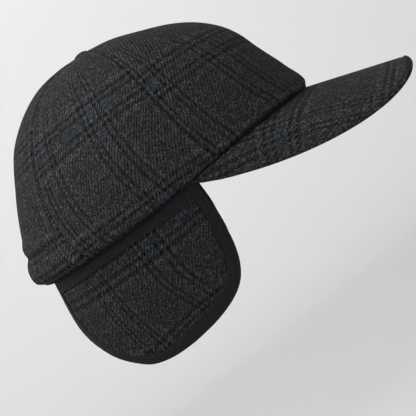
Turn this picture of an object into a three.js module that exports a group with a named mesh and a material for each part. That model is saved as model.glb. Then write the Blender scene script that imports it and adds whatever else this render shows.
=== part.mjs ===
import * as THREE from "three";

// Wool cap with a curved peak and two hanging ear flaps. Millimetres and degrees.
// The rim lies in the plane z = 0, the crown rises along +Z and the peak points along -Y.
// A turn is measured round the crown from the front (0) by the side (90) to the back (180).

const wall = 2.2;
const seamGap = 0.35;
const crownColumns = 64;

// Crown shape: distance from the middle of the rim plane at each rise above that plane.
// The low rows hold the tuck over the peak and the rolled hem at the back.
const crownRows = [
  { rise: 0, front: 101.2, side: 83.0, back: 106.5 },
  { rise: 2, front: 103.0, side: 84.4, back: 111.0 },
  { rise: 4, front: 102.9, side: 84.9, back: 112.2 },
  { rise: 7, front: 101.6, side: 85.3, back: 111.8 },
  { rise: 10, front: 100.3, side: 85.9, back: 109.6 },
  { rise: 13, front: 99.7, side: 86.6, back: 108.6 },
  { rise: 18, front: 99.0, side: 87.9, back: 106.9 },
  { rise: 24, front: 99.5, side: 89.6, back: 105.5 },
  { rise: 30, front: 101.4, side: 91.5, back: 104.7 },
  { rise: 36, front: 102.6, side: 93.7, back: 104.6 },
  { rise: 42, front: 102.7, side: 96.4, back: 105.6 },
  { rise: 48, front: 102.3, side: 98.8, back: 106.8 },
  { rise: 54, front: 101.5, side: 100.9, back: 107.1 },
  { rise: 62, front: 100.4, side: 102.6, back: 107.2 },
  { rise: 70, front: 99.8, side: 103.2, back: 106.8 },
  { rise: 78, front: 100.3, side: 103.0, back: 105.0 },
  { rise: 84, front: 101.1, side: 102.4, back: 103.4 },
];
const crownTop = 102.2;

// The lower edge arches up a little over the temples and sags behind the ears.
const rimSag = [
  { turn: 0, sag: 0 },
  { turn: 50, sag: -1.2 },
  { turn: 84, sag: 1.4 },
  { turn: 115, sag: 2.8 },
  { turn: 140, sag: 2.2 },
  { turn: 160, sag: 1.4 },
  { turn: 180, sag: 0 },
];
const sagFade = 24;

const button = { radius: 5.2, height: 1.5, rings: 5, columns: 24 };

// Peak: a sheet bent along straight lines that run forward and down from the rim,
// a little steeper at the sides than in the middle.
const peak = {
  cornerTurn: 84,
  slope: 20.0,
  sideDroop: 13.8,
  thickness: 3.0,
  tuck: 1.2,
  tip: 163.8,
  halfWidth: 81.6,
  roundness: 2.75,
  columns: 48,
};
const peakRows = [
  { reach: 0.0, body: 0.9 },
  { reach: 0.04, body: 1.0 },
  { reach: 0.25, body: 1.0 },
  { reach: 0.5, body: 1.0 },
  { reach: 0.75, body: 1.0 },
  { reach: 0.94, body: 1.0 },
  { reach: 0.98, body: 0.9 },
  { reach: 1.0, body: 0.5 },
];

// Ear flap chart: distance along the rim from the front corner, drop below the rim and
// width of the edge binding, down the front edge, along the bottom and up the back edge.
const flap = {
  startTurn: 83.2,
  tucked: 9,
  panelThickness: 3.8,
  bindingThickness: 4.4,
  bandThickness: 2.4,
  bandRecess: 0.2,
};
const flapOutline = [
  { along: 0, drop: -9, edge: 7.6 },
  { along: 0, drop: 6, edge: 7.6 },
  { along: 0.2, drop: 20, edge: 7.6 },
  { along: 1.3, drop: 31, edge: 7.7 },
  { along: 2.8, drop: 42.6, edge: 8.1 },
  { along: 6.2, drop: 53.3, edge: 8.6 },
  { along: 10.8, drop: 61.3, edge: 9.0 },
  { along: 16.2, drop: 66.8, edge: 9.2 },
  { along: 23.6, drop: 71.2, edge: 9.3 },
  { along: 33.8, drop: 74.9, edge: 9.4 },
  { along: 45.5, drop: 77.6, edge: 9.5 },
  { along: 58, drop: 79.4, edge: 9.4 },
  { along: 72, drop: 80.6, edge: 8.5 },
  { along: 86, drop: 79.9, edge: 7.0 },
  { along: 97, drop: 76.4, edge: 6.1 },
  { along: 104.8, drop: 69.8, edge: 5.6 },
  { along: 111.8, drop: 61.9, edge: 5.4 },
  { along: 118, drop: 53.2, edge: 5.4 },
  { along: 124.6, drop: 42.2, edge: 5.4 },
  { along: 129, drop: 31, edge: 5.4 },
  { along: 130.7, drop: 20, edge: 5.4 },
  { along: 131, drop: 8, edge: 5.4 },
  { along: 131, drop: -9, edge: 5.4 },
];
const flapCorners = { front: 0.33, back: 0.69 };

// The flap leans in toward the middle at the front and flares out at the back.
const flapLean = [
  { along: 0, lean: 6, curl: 1 },
  { along: 40, lean: 7.5, curl: 2 },
  { along: 80, lean: 4, curl: 2 },
  { along: 102, lean: -2, curl: 1 },
  { along: 118, lean: -7, curl: 0 },
  { along: 132, lean: -11, curl: 0 },
];

// Line where the panel meets the strip above it.
const panelTop = [
  { along: 0, drop: 9.8 },
  { along: 27, drop: 7.6 },
  { along: 50, drop: 6.6 },
  { along: 75, drop: 6.7 },
  { along: 100, drop: 7.2 },
  { along: 132, drop: 7.7 },
];

// Cross section of the edging: share of its width inward, share of its half thickness.
const bindingSection = [
  { across: 0.0, lift: 0.0 },
  { across: 0.06, lift: -0.7 },
  { across: 0.3, lift: -1.0 },
  { across: 1.0, lift: -0.9 },
  { across: 1.0, lift: 0.9 },
  { across: 0.3, lift: 1.0 },
  { across: 0.06, lift: 0.7 },
];

const radians = (degrees) => (degrees * Math.PI) / 180;

// Smooth curve through one column of a table, read against another column.
function tableCurve(rows, key, column) {
  const places = rows.map((row) => row[key]);
  const values = rows.map((row) => row[column]);
  const curve = new THREE.CubicInterpolant(places, values, 1);
  return (place) => curve.evaluate(place)[0];
}

const sagAt = tableCurve(rimSag, "turn", "sag");
const leanAt = tableCurve(flapLean, "along", "lean");
const curlAt = tableCurve(flapLean, "along", "curl");
const panelTopAt = tableCurve(panelTop, "along", "drop");

// Distance from the axis to an oval with its own front, side and back reach.
function ovalReach(turn, row) {
  const forward = Math.cos(turn);
  const aside = Math.sin(turn);
  const end = forward > 0 ? row.front : row.back;
  return 1 / Math.sqrt((forward / end) ** 2 + (aside / row.side) ** 2);
}

// Sag of the lower edge at a turn, on either side of the cap.
function rimDrop(turn) {
  const degrees = THREE.MathUtils.radToDeg(Math.abs(turn));
  return sagAt(degrees > 180 ? 360 - degrees : degrees);
}

function crownPoint(turn, row, inset) {
  const reach = ovalReach(turn, row) - inset;
  const rise = radians(row.rise);
  const out = reach * Math.cos(rise);
  const drop = rimDrop(turn) * Math.max(0, 1 - row.rise / sagFade);
  const height = reach * Math.sin(rise) - drop;
  return new THREE.Vector3(-out * Math.sin(turn), -out * Math.cos(turn), height);
}

// Triangle soup that grows by quads and is welded into one closed body at the end.
class Body {
  constructor() {
    this.corners = [];
  }

  triangle(a, b, c) {
    const area = new THREE.Triangle(a, b, c).getArea();
    if (area > 1e-7) {
      this.corners.push(a, b, c);
    }
  }

  quad(a, b, c, d) {
    this.triangle(a, b, c);
    this.triangle(a, c, d);
  }

  mesh(name, material, mirrored) {
    const positions = [];
    for (let i = 0; i < this.corners.length; i += 3) {
      const order = mirrored ? [i, i + 2, i + 1] : [i, i + 1, i + 2];
      for (const k of order) {
        const point = this.corners[k];
        positions.push(mirrored ? -point.x : point.x, point.y, point.z);
      }
    }
    const geometry = new THREE.BufferGeometry();
    geometry.setAttribute("position", new THREE.Float32BufferAttribute(positions, 3));
    geometry.computeVertexNormals();
    const piece = new THREE.Mesh(geometry, material);
    piece.name = name;
    return piece;
  }
}

// Closed sheet between two equal grids of points. Seen from outside the first grid,
// a row to the next and then a column to the next turn to the left.
function sheetBody(near, far) {
  const body = new Body();
  const rows = near.length - 1;
  const columns = near[0].length - 1;
  for (let r = 0; r < rows; r += 1) {
    for (let c = 0; c < columns; c += 1) {
      body.quad(near[r][c], near[r + 1][c], near[r + 1][c + 1], near[r][c + 1]);
      body.quad(far[r][c], far[r][c + 1], far[r + 1][c + 1], far[r + 1][c]);
    }
  }
  for (let r = 0; r < rows; r += 1) {
    body.quad(near[r][0], far[r][0], far[r + 1][0], near[r + 1][0]);
    body.quad(near[r][columns], near[r + 1][columns], far[r + 1][columns], far[r][columns]);
  }
  for (let c = 0; c < columns; c += 1) {
    body.quad(near[0][c], near[0][c + 1], far[0][c + 1], far[0][c]);
    body.quad(near[rows][c], far[rows][c], far[rows][c + 1], near[rows][c + 1]);
  }
  return body;
}

// Closed tube through a row of equal rings, with a flat cap at each end.
function tubeBody(rings) {
  const body = new Body();
  const count = rings[0].length;
  for (let r = 0; r + 1 < rings.length; r += 1) {
    for (let i = 0; i < count; i += 1) {
      const next = (i + 1) % count;
      body.quad(rings[r][i], rings[r + 1][i], rings[r + 1][next], rings[r][next]);
    }
  }
  const first = rings[0];
  const last = rings[rings.length - 1];
  for (let i = 1; i + 1 < count; i += 1) {
    body.triangle(first[0], first[i], first[i + 1]);
    body.triangle(last[0], last[i + 1], last[i]);
  }
  return body;
}

function crownBody() {
  const body = new Body();
  const ring = (row, inset) => {
    const points = [];
    for (let c = 0; c < crownColumns; c += 1) {
      points.push(crownPoint((2 * Math.PI * c) / crownColumns, row, inset));
    }
    return points;
  };
  const outer = crownRows.map((row) => ring(row, 0));
  const inner = crownRows.map((row) => ring(row, wall));
  const outerTop = new THREE.Vector3(0, 0, crownTop);
  const innerTop = new THREE.Vector3(0, 0, crownTop - wall);
  const lastRow = crownRows.length - 1;
  for (let c = 0; c < crownColumns; c += 1) {
    const next = (c + 1) % crownColumns;
    for (let r = 0; r < lastRow; r += 1) {
      body.quad(outer[r][c], outer[r + 1][c], outer[r + 1][next], outer[r][next]);
      body.quad(inner[r][c], inner[r][next], inner[r + 1][next], inner[r + 1][c]);
    }
    body.triangle(outer[lastRow][c], outerTop, outer[lastRow][next]);
    body.triangle(inner[lastRow][c], inner[lastRow][next], innerTop);
    body.quad(inner[0][c], outer[0][c], outer[0][next], inner[0][next]);
  }
  return body;
}

// Flat covered button: a low dome on a base that follows the slope of the crown top.
function buttonBody() {
  const profile = [new THREE.Vector2(0, 0)];
  for (let r = 0; r <= button.rings; r += 1) {
    const angle = (Math.PI / 2) * (r / button.rings);
    const swell = button.height * (0.25 + 0.75 * Math.sin(angle));
    profile.push(new THREE.Vector2(r === button.rings ? 0 : button.radius * Math.cos(angle), swell));
  }
  profile.splice(1, 0, new THREE.Vector2(button.radius * 0.9, 0));
  const front = crownPoint(0, crownRows[crownRows.length - 1], 0);
  const back = crownPoint(Math.PI, crownRows[crownRows.length - 1], 0);
  const tilt = Math.atan2(back.z - front.z, back.y - front.y);
  const lay = new THREE.Matrix4().makeRotationX(tilt);
  lay.setPosition(0, 0, crownTop + seamGap);
  const rings = profile.map((spot) => {
    const points = [];
    for (let c = 0; c < button.columns; c += 1) {
      const turn = (2 * Math.PI * c) / button.columns;
      const point = new THREE.Vector3(spot.x * Math.cos(turn), spot.x * Math.sin(turn), spot.y);
      points.push(point.applyMatrix4(lay));
    }
    return points;
  });
  const body = new Body();
  for (let r = 0; r + 1 < rings.length; r += 1) {
    for (let c = 0; c < button.columns; c += 1) {
      const next = (c + 1) % button.columns;
      body.quad(rings[r][c], rings[r][next], rings[r + 1][next], rings[r + 1][c]);
    }
  }
  return body;
}

function peakBody() {
  const rim = crownRows[0];
  const half = peak.thickness / 2;
  const upper = peakRows.map(() => []);
  const lower = peakRows.map(() => []);
  for (let c = 0; c <= peak.columns; c += 1) {
    const turn = radians(peak.cornerTurn) * (1 - (2 * c) / peak.columns);
    const aside = (rim.side - peak.tuck) * Math.sin(turn);
    const forward = (rim.front - peak.tuck) * Math.cos(turn);
    const slope = radians(peak.slope + peak.sideDroop * Math.abs(Math.sin(turn)) ** 1.5);
    const line = new THREE.Vector3(0, -Math.cos(slope), -Math.sin(slope));
    const along = new THREE.Vector3(
      (rim.side - peak.tuck) * Math.cos(turn),
      -(rim.front - peak.tuck) * Math.sin(turn),
      0,
    );
    const normal = new THREE.Vector3().crossVectors(line, along).normalize();
    const round = Math.max(0, 1 - Math.abs(aside / peak.halfWidth) ** peak.roundness);
    const edge = peak.tip * round ** (1 / peak.roundness);
    const length = (edge - forward) / Math.cos(slope);
    const start = new THREE.Vector3(-aside, -forward, -rimDrop(turn) - seamGap - half * normal.z);
    peakRows.forEach((row, r) => {
      const middle = start.clone().addScaledVector(line, length * row.reach);
      upper[r].push(middle.clone().addScaledVector(normal, half * row.body));
      lower[r].push(middle.clone().addScaledVector(normal, -half * row.body));
    });
  }
  return sheetBody(upper, lower);
}

// Turn at a distance along the rim, found by walking round the hanging line of the flap.
function flapTurns(inset) {
  const rim = crownRows[0];
  const first = radians(flap.startTurn);
  const turns = [{ along: 0, turn: first }];
  const step = radians(1);
  let spot = crownPoint(first, rim, inset);
  for (let turn = first + step; turn < Math.PI; turn += step) {
    const next = crownPoint(turn, rim, inset);
    turns.push({ along: turns[turns.length - 1].along + next.distanceTo(spot), turn });
    spot = next;
  }
  return tableCurve(turns, "along", "turn");
}

const flapInset = wall + seamGap + flap.bindingThickness / 2;
const flapTurnAt = flapTurns(flapInset);

// Point of the flap sheet: a place on the rim, a drop below it and a lift off the mid surface.
function flapPoint(along, drop, lift) {
  const turn = flapTurnAt(along);
  const rim = crownRows[0];
  const end = Math.cos(turn) > 0 ? rim.front : rim.back;
  const outward = new THREE.Vector3(-Math.sin(turn) / rim.side, -Math.cos(turn) / end, 0).normalize();
  const hang = Math.max(drop, 0);
  const tucked = Math.min(drop, 0);
  const lean = radians(leanAt(along) + (curlAt(along) * hang) / 40);
  const point = crownPoint(turn, rim, flapInset);
  point.addScaledVector(outward, Math.cos(lean) * lift - Math.sin(lean) * hang);
  point.z -= Math.cos(lean) * hang + Math.sin(lean) * lift + tucked;
  return point;
}

// Outline of the flap in its chart, and the same line moved in by the binding width.
function flapLines(count) {
  const curve = new THREE.SplineCurve(flapOutline.map((row) => new THREE.Vector2(row.along, row.drop)));
  const widths = flapOutline.map((row, place) => ({ place, edge: row.edge }));
  const edgeAt = tableCurve(widths, "place", "edge");
  const outside = [];
  const inward = [];
  const edges = [];
  for (let i = 0; i <= count; i += 1) {
    const part = curve.getUtoTmapping(i / count);
    const tangent = curve.getTangent(part);
    outside.push(curve.getPoint(part));
    inward.push(new THREE.Vector2(tangent.y, -tangent.x));
    edges.push(edgeAt(part * (flapOutline.length - 1)));
  }
  return { outside, inward, edges };
}

function bindingBody() {
  const { outside, inward, edges } = flapLines(46);
  const half = flap.bindingThickness / 2;
  const rings = outside.map((spot, i) =>
    bindingSection.map((corner) => {
      const place = spot.clone().addScaledVector(inward[i], corner.across * edges[i]);
      return flapPoint(place.x, place.y, corner.lift * half);
    }),
  );
  return tubeBody(rings);
}

function panelBody() {
  const { outside, inward, edges } = flapLines(90);
  const inside = outside.map((spot, i) => spot.clone().addScaledVector(inward[i], edges[i] + seamGap));
  const kept = inside.filter((spot) => spot.y > panelTopAt(spot.x) + 0.5);
  const frontTop = new THREE.Vector2(kept[0].x, panelTopAt(kept[0].x));
  const backTop = new THREE.Vector2(kept[kept.length - 1].x, panelTopAt(kept[kept.length - 1].x));
  const border = new THREE.SplineCurve([frontTop, ...kept, backTop]);
  const bodyRows = 12;
  const bodyColumns = 18;
  const frontAt = (v) => border.getPointAt(flapCorners.front * v);
  const backAt = (v) => border.getPointAt(1 - (1 - flapCorners.back) * v);
  const bottomAt = (u) => border.getPointAt(THREE.MathUtils.lerp(flapCorners.front, flapCorners.back, u));
  const topLine = (u) => {
    const along = THREE.MathUtils.lerp(frontTop.x, backTop.x, u);
    return new THREE.Vector2(along, panelTopAt(along));
  };
  const mix = (a, b, part) => a.clone().lerp(b, part);
  const outer = [];
  const inner = [];
  for (let r = 0; r <= bodyRows; r += 1) {
    outer.push([]);
    inner.push([]);
    const v = r / bodyRows;
    for (let c = 0; c <= bodyColumns; c += 1) {
      const u = c / bodyColumns;
      const sides = mix(frontAt(v), backAt(v), u);
      const ends = mix(topLine(u), bottomAt(u), v);
      const corners = mix(mix(topLine(0), topLine(1), u), mix(bottomAt(0), bottomAt(1), u), v);
      const place = sides.add(ends).sub(corners);
      const swell = Math.min(1, 6 * Math.min(u, 1 - u, v, 1 - v));
      const half = (flap.panelThickness / 2) * (0.86 + 0.14 * swell);
      outer[r].push(flapPoint(place.x, place.y, half));
      inner[r].push(flapPoint(place.x, place.y, -half));
    }
  }
  return sheetBody(inner, outer);
}

function bandBody() {
  const { outside, edges } = flapLines(90);
  const columns = 20;
  const drops = [0, 0.45, 0.75, 1];
  const frontEdge = outside[0].x + edges[0] + seamGap;
  const backEdge = outside[90].x - edges[90] - seamGap;
  const face = flap.bindingThickness / 2 - flap.bandRecess;
  const outer = drops.map(() => []);
  const inner = drops.map(() => []);
  for (let c = 0; c <= columns; c += 1) {
    const along = THREE.MathUtils.lerp(frontEdge, backEdge, c / columns);
    const foot = panelTopAt(along) - seamGap;
    drops.forEach((part, r) => {
      const drop = THREE.MathUtils.lerp(-flap.tucked, foot, part);
      outer[r].push(flapPoint(along, drop, face));
      inner[r].push(flapPoint(along, drop, face - flap.bandThickness));
    });
  }
  return sheetBody(inner, outer);
}

const cloth = (colour, roughness) =>
  new THREE.MeshStandardMaterial({ color: colour, roughness, metalness: 0 });

const cap = new THREE.Group();
cap.name = "earflap_cap";
cap.add(crownBody().mesh("crown", cloth(0x3a3c40, 0.95), false));
cap.add(buttonBody().mesh("top_button", cloth(0x3d3f43, 0.95), false));
cap.add(peakBody().mesh("peak", cloth(0x383a3e, 0.95), false));
const flapPieces = [
  { name: "flap_panel", body: panelBody(), colour: 0x37393d, roughness: 0.95 },
  { name: "flap_binding", body: bindingBody(), colour: 0x141416, roughness: 0.85 },
  { name: "flap_band", body: bandBody(), colour: 0x18181a, roughness: 0.85 },
];
for (const piece of flapPieces) {
  cap.add(piece.body.mesh(`${piece.name}_right`, cloth(piece.colour, piece.roughness), false));
  cap.add(piece.body.mesh(`${piece.name}_left`, cloth(piece.colour, piece.roughness), true));
}

export default cap;
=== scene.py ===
import math

import bpy
import numpy as np
from mathutils import Matrix, Vector


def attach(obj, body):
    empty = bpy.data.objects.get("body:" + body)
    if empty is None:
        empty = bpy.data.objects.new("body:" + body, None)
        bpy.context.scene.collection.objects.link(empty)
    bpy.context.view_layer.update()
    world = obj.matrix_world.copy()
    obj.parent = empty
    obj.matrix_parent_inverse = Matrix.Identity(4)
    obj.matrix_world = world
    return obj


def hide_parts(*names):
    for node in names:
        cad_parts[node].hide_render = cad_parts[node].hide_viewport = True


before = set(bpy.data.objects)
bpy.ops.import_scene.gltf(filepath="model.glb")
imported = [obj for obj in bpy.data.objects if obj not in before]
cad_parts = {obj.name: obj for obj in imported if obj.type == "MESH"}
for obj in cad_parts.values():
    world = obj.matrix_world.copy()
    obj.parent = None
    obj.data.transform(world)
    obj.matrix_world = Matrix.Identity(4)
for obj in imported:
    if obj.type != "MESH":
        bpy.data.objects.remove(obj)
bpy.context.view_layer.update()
mm = 0.001
print("frame loaded")


def tableOf(columns, *rows):
    return [dict(zip(columns, row)) for row in rows]


# a smooth curve through one column of a table
def curveThrough(rows, key, column):
    places = [row[key] for row in rows]
    values = [row[column] for row in rows]
    last = len(places) - 1

    def at(place):
        if place <= places[0]:
            return values[0]
        if place >= places[last]:
            return values[last]
        i = max(k for k in range(last) if places[k] <= place)
        start, end = places[i], places[i + 1]
        before = places[i - 1] if i > 0 else 2 * start - end
        after = places[i + 2] if i + 2 <= last else 2 * end - start
        valueBefore = values[i - 1] if i > 0 else values[i + 1]
        valueAfter = values[i + 2] if i + 2 <= last else values[i]
        half = (end - start) / 2
        a, b = half / (start - before), half / (after - end)
        p = (place - start) / (end - start)
        return (
            valueBefore * a * p * (2 * p - p * p - 1)
            + values[i] * ((1 + a) * p ** 3 - (1.5 + 2 * a) * p ** 2 + (a - 0.5) * p + 1)
            + values[i + 1] * ((1.5 + b) * p ** 2 - (1 + b) * p ** 3 + 0.5 * p)
            + valueAfter * b * p * p * (p - 1)
        )

    return at


def smooth(low, high, value):
    part = min(1, max(0, (value - low) / (high - low)))
    return part * part * (3 - 2 * part)


def bell(away, width):
    return np.exp(-((away / width) ** 2))


def linear(*screen):
    shades = [((c / 255 + 0.055) / 1.055) ** 2.4 if c > 10 else c / 255 / 12.92 for c in screen]
    return (*shades, 1.0)


# one socket of a node tree, with arithmetic on values
class Wire:
    def __init__(self, tree, socket=None):
        self.tree = tree
        self.socket = socket

    def node(self, kind, settings=None, values=None, out=0):
        made = self.tree.nodes.new(kind)
        for name, value in (settings or {}).items():
            if name == "stops":
                ramp = made.color_ramp.elements
                while len(ramp) < len(value):
                    ramp.new(0.5)
                for stop, (place, shade) in zip(ramp, value):
                    stop.position = place
                    stop.color = shade
            else:
                setattr(made, name, value)
        for place, value in (values or {}).items():
            if isinstance(value, Wire):
                self.tree.links.new(value.socket, made.inputs[place])
            else:
                made.inputs[place].default_value = value
        return Wire(self.tree, made.outputs[out])

    def math(self, operation, *values):
        return self.node("ShaderNodeMath", {"operation": operation}, dict(enumerate(values)))

    def clamped(self, value):
        held = value * 1.0
        held.socket.node.use_clamp = True
        return held

    # from 0 at the start up to 1, by the gain
    def above(self, value, start, gain):
        return self.clamped((value - start) * gain)

    # up to 1 and back in each unit
    def ridge(self, value):
        return abs(self.math("FRACT", value) - 0.5) * 2

    def mix(self, factor, first, second, blend="MIX"):
        settings = {"data_type": "RGBA", "blend_type": blend}
        return self.node("ShaderNodeMix", settings, {0: factor, 6: first, 7: second}, 2)

    def noise(self, place, scale, detail):
        return self.node("ShaderNodeTexNoise", None, {"Vector": place, "Scale": scale, "Detail": detail})

    def joined(self, *values):
        return self.node("ShaderNodeCombineXYZ", None, dict(enumerate(values)))

    def axis(self, vector, place):
        return self.node("ShaderNodeSeparateXYZ", None, {0: vector}, place)

    def __add__(self, other):
        return self.math("ADD", self, other)

    __radd__ = __add__

    def __sub__(self, other):
        return self.math("SUBTRACT", self, other)

    def __rsub__(self, other):
        return self.math("SUBTRACT", other, self)

    def __mul__(self, other):
        return self.math("MULTIPLY", self, other)

    __rmul__ = __mul__

    def __truediv__(self, other):
        return self.math("DIVIDE", self, other)

    def __rtruediv__(self, other):
        return self.math("DIVIDE", other, self)

    def __pow__(self, other):
        return self.math("POWER", self, other)

    def __abs__(self):
        return self.math("ABSOLUTE", self)


def startMaterial(name):
    material = bpy.data.materials.new(name)
    material.use_nodes = True
    shader = next(n for n in material.node_tree.nodes if n.type == "BSDF_PRINCIPLED")
    return material, shader, Wire(material.node_tree)


# colour and bump, the bump's depth in millimetres
def finishMaterial(wire, shader, colour, height, depth, constants):
    tree = wire.tree
    bump = wire.node("ShaderNodeBump", None, {"Strength": 0.8, "Distance": depth * mm, "Height": height})
    tree.links.new(colour.socket, shader.inputs["Base Color"])
    tree.links.new(bump.socket, shader.inputs["Normal"])
    for name, value in constants.items():
        shader.inputs[name].default_value = value


# across and up the cloth in millimetres, which the map holds in hundreds
def weavePlace(wire):
    read = wire.node("ShaderNodeUVMap", {"uv_map": "weave"})
    across, up = wire.axis(read, 0) * 100, wire.axis(read, 1) * 100
    return across, up, wire.joined(across, up)


# how dark the painted shade gets at its fullest
paintedShadeDepth = 0.88


# painted shade: darker where the cloth is pulled into a seam, folds under, lies under an overhanging part
# or turns out of the light
def paintedShading(wire):
    return 1 - wire.node("ShaderNodeAttribute", {"attribute_name": "crease"}, None, 2) * paintedShadeDepth


# glen plaid: yarn stripes by their distance from the middle of each group, in millimetres
plaid = {
    "warpRepeat": 48.0,
    "weftRepeat": 64.0,
    "ground": (42, 43, 43),
    "pale": (47, 61, 73),
    "warpStripes": tableOf(
        ("offset", "width", "colour", "strength", "yarn"),
        (2.4, 1.8, (60, 61, 63), 0.55, "even"),
        (0.0, 4.0, (34, 46, 59), 0.92, "faded"),
        (4.3, 1.9, (8, 8, 9), 0.88, "even"),
        (6.5, 1.5, (60, 60, 60), 0.5, "even"),
        (8.7, 1.9, (8, 8, 9), 0.85, "even"),
        (11.1, 2.2, (60, 60, 60), 0.5, "even"),
        (24.0, 2.0, (36, 44, 60), 0.6, "flecked"),
    ),
    "weftStripes": tableOf(
        ("offset", "width", "colour", "strength", "yarn"),
        (2.5, 1.8, (62, 63, 65), 0.6, "even"),
        (0.0, 4.0, (34, 46, 59), 0.92, "faded"),
        (4.5, 1.9, (8, 8, 9), 0.9, "even"),
        (6.7, 1.7, (62, 62, 62), 0.55, "even"),
        (8.9, 1.9, (8, 8, 9), 0.9, "even"),
        (11.9, 2.6, (62, 62, 62), 0.5, "even"),
        (12.8, 1.9, (102, 63, 54), 0.8, "flecked"),
        (32.0, 2.0, (36, 44, 60), 0.6, "flecked"),
    ),
    "softness": {"even": 0.5, "flecked": 0.5, "faded": 1.2},
    "driftScale": 0.55,  # noise scales, to the millimetre
    "patchScale": 0.075,
    "blotScale": 0.16,
    "wander": 0.7,  # how far drift moves a stripe
    "worn": (0.47, 9.0),  # where flecked, faded and paler yarn starts over its noise, and the gain
    "faded": (0.32, 4.5),
    "washed": (0.5, 5.0),
    "fleckLeast": 0.84,
    "fleckDrift": 0.8,
    "fleckAcross": 0.55,
    "fleckAlong": 0.95,
    "fleckGrey": (0.55, 2.0),
    "fleckTones": [
        (0.0, (0.3, 0.3, 0.3, 1)),
        (0.42, (0.76, 0.76, 0.77, 1)),
        (0.76, (1.2, 1.2, 1.2, 1)),
        (0.92, (1.85, 1.85, 1.83, 1)),
        (1.0, (3.0, 3.0, 2.95, 1)),
    ],
    "wale": 1.9,
    "waleSlant": (0.8, 0.6),
    "warpOnTop": (0.2727, 2.2),
    "roughness": 0.95,
}


def makePlaid(name, contrast, relief):
    material, shader, wire = startMaterial(name)
    repeats = wire.node("ShaderNodeUVMap", {"uv_map": "plaid"})
    across, up, spot = weavePlace(wire)
    drift = wire.noise(spot, plaid["driftScale"], 2.0)
    patch = wire.noise(spot, plaid["patchScale"], 1.0)
    blot = wire.noise(spot, plaid["blotScale"], 2.0)
    slantAcross, slantUp = plaid["waleSlant"]
    overWale = across * slantAcross + up * slantUp
    alongWale = up * slantAcross - across * slantUp
    column = wire.math("FLOOR", overWale / plaid["fleckAcross"])
    stagger = wire.node("ShaderNodeTexWhiteNoise", {"noise_dimensions": "1D"}, {"W": column})
    cell = wire.joined(column, wire.math("FLOOR", alongWale / plaid["fleckAlong"] + stagger))
    fleck = wire.node("ShaderNodeTexWhiteNoise", {"noise_dimensions": "2D"}, {"Vector": cell})
    sparse = wire.math("GREATER_THAN", fleck + drift * plaid["fleckDrift"], plaid["fleckLeast"])
    shows = {
        "flecked": sparse * wire.above(patch, *plaid["worn"]),
        "faded": wire.above(blot, *plaid["faded"]),
    }
    washed = wire.above(blot, *plaid["washed"])

    def yarns(place, repeat, stripes):
        fromGroup = abs(wire.math("FRACT", place + 0.5) - 0.5) * repeat
        away = fromGroup + (drift - 0.5) * plaid["wander"]
        colour = linear(*plaid["ground"])
        for row in stripes:
            edge = (abs(away - row["offset"]) - row["width"] / 2) / plaid["softness"][row["yarn"]]
            share = wire.clamped(0.5 - edge) * (row["strength"] * contrast)
            shade = linear(*row["colour"])
            if row["yarn"] in shows:
                share = share * shows[row["yarn"]]
            if row["yarn"] == "faded":
                shade = wire.mix(washed, shade, linear(*plaid["pale"]))
            colour = wire.mix(share, colour, shade)
        return colour

    warp = yarns(wire.axis(repeats, 0), plaid["warpRepeat"], plaid["warpStripes"])
    weft = yarns(wire.axis(repeats, 1), plaid["weftRepeat"], plaid["weftStripes"])
    wave = wire.ridge(overWale / plaid["wale"])
    woven = wire.mix(wire.above(wave, *plaid["warpOnTop"]) * 0.44 + 0.28, weft, warp)
    grey = wire.node("ShaderNodeRGBToBW", None, {0: woven})
    cloth = wire.mix(wire.above(fleck, *plaid["fleckGrey"]), woven, grey)
    tone = wire.node("ShaderNodeValToRGB", {"stops": plaid["fleckTones"]}, {"Fac": fleck})
    speckled = wire.mix(1.0, cloth, tone, "MULTIPLY")
    # painted shade: the wale's grooves darker than its ridges, and the painted shade of seams and folds;
    # the drift noise is the wool's random tone
    paintedShadeAndMottle = (wave * 0.6 + 0.67) * (drift * 0.8 + 0.6) * paintedShading(wire)
    shaded = wire.mix(1.0, speckled, paintedShadeAndMottle, "MULTIPLY")
    finishMaterial(wire, shader, shaded, wave * 0.6 + fleck * 0.4, relief, {
        "Roughness": plaid["roughness"],
        "Specular IOR Level": 0.1,
    })
    return material


edging = {
    "shade": (33, 33, 34), "deep": (10, 10, 11), "rib": 1.25, "fuzzScale": 0.6, "mottle": (0.36, 3.4),
    "bump": 0.3, "roughness": 0.8,
}


def makeEdging():
    material, shader, wire = startMaterial("blackEdging")
    across, along, spot = weavePlace(wire)
    rib = wire.ridge(across / edging["rib"])
    fuzz = wire.noise(spot, edging["fuzzScale"], 4.0)
    mottle = wire.above(fuzz, *edging["mottle"])
    shade = wire.mix(rib * 0.3 + mottle * 0.7, linear(*edging["deep"]), linear(*edging["shade"]))
    shaded = wire.mix(1.0, shade, paintedShading(wire), "MULTIPLY")
    finishMaterial(wire, shader, shaded, rib * 0.6 + fuzz * 0.5, edging["bump"], {
        "Roughness": edging["roughness"],
        "Specular IOR Level": 0.2,
        "Sheen Weight": 0.06,
        "Sheen Roughness": 0.4,
        "Sheen Tint": (0.8, 0.8, 0.85, 1),
    })
    return material


lining = {
    "shade": (34, 34, 37), "deep": (20, 20, 22), "twill": 0.9, "fuzzScale": 0.3,
    "bump": 0.15, "roughness": 0.6,
}


def makeLining():
    material, shader, wire = startMaterial("darkLining")
    across, up, spot = weavePlace(wire)
    wave = wire.ridge((across + up) / lining["twill"])
    fuzz = wire.noise(spot, lining["fuzzScale"], 3.0)
    shade = wire.mix(wave * 0.5 + fuzz * 0.5, linear(*lining["deep"]), linear(*lining["shade"]))
    finishMaterial(wire, shader, shade, wave * 0.5 + fuzz * 0.4, lining["bump"], {
        "Roughness": lining["roughness"],
        "Specular IOR Level": 0.3,
    })
    return material


thread = {"shade": (20, 20, 22), "deep": (12, 12, 13), "strandScale": 1600.0, "bump": 0.1, "roughness": 0.7}


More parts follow.
